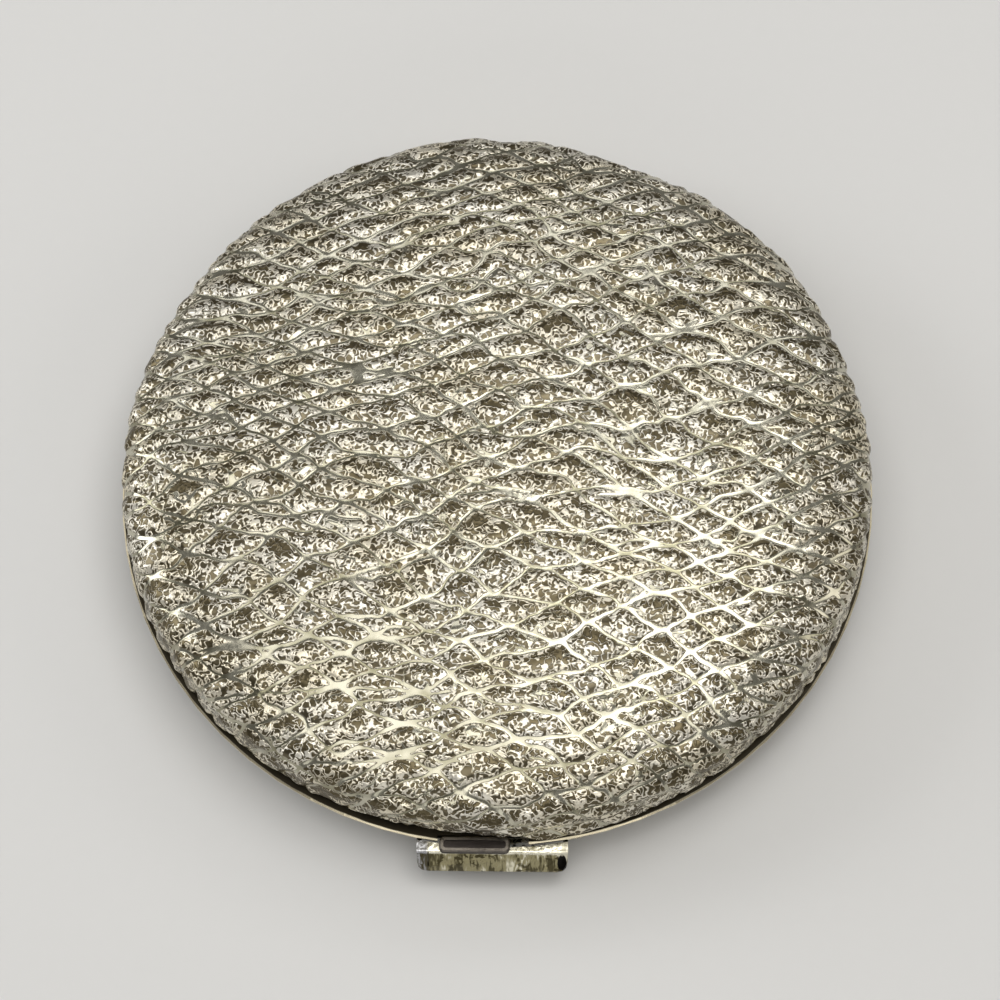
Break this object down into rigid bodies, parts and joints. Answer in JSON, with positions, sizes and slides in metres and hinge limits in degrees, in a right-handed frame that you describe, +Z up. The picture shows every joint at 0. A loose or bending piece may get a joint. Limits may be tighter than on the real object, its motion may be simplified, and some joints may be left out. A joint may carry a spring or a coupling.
{
  "type": "makeup compact",
  "caption": "Round closed vanity compact: hide-grained domed lid on a rear hinge, mirror inside, powder well and puff in the base, sliding catch at the front.",
  "frame": {"origin": "middle of the flat foot under the base", "axes": "+Z up out of the lid with the compact closed, +Y towards the hinge, -Y towards the catch, +X to the right as seen from the catch"},
  "size_m": [0.0752, 0.0774, 0.0152],
  "materials": {
    "pale_gilt": "pale champagne gilt, pressed in a fine hide grain, tarnished in the hollows",
    "bright_gilt": "smooth polished gilt",
    "worn_brass": "worn brass, streaked and darkened at its ends",
    "dark_metal": "blackened satin metal, rubbed paler on its edges",
    "spring_steel": "drawn steel",
    "pan_tin": "pressed sheet, satin",
    "face_powder": "pressed face powder, matte",
    "silvered_glass": "silvered mirror",
    "felt_board": "felt-faced board",
    "puff_velour": "velour powder puff",
    "puff_satin": "satin ribbon"
  },
  "bodies": {
    "base": {"base_shell": "pale_gilt", "rim_frame": "bright_gilt", "powder_tray": "bright_gilt", "powder_pan": "pan_tin", "powder_cake": "face_powder", "pan_keeper": "bright_gilt", "puff_pad": "puff_velour", "puff_ribbon": "puff_satin", "base_hinge": "bright_gilt", "hinge_pin": "spring_steel", "catch_housing": "worn_brass", "slide_spring": "spring_steel"},
    "slide": {"slide_button": "dark_metal", "slide_bolt": "spring_steel"},
    "lid": {"lid_shell": "pale_gilt", "mirror_frame": "bright_gilt", "mirror": "silvered_glass", "mirror_backing": "felt_board", "lid_hinge": "bright_gilt", "lid_tongue": "bright_gilt"}
  },
  "joints": [
    {"name": "lid_swing", "type": "hinge", "parent": "base", "child": "lid", "pos_m": [0, 0.037, 0.006], "axis": [-1, 0, 0], "range_deg": [0, 110]},
    {"name": "latch_slide", "type": "slide", "parent": "base", "child": "slide", "axis": [1, 0, 0], "range_m": [0, 0.0016], "stiffness_N_per_m": 400, "springref_m": -0.001, "deforming": ["slide_spring"]}
  ]
}
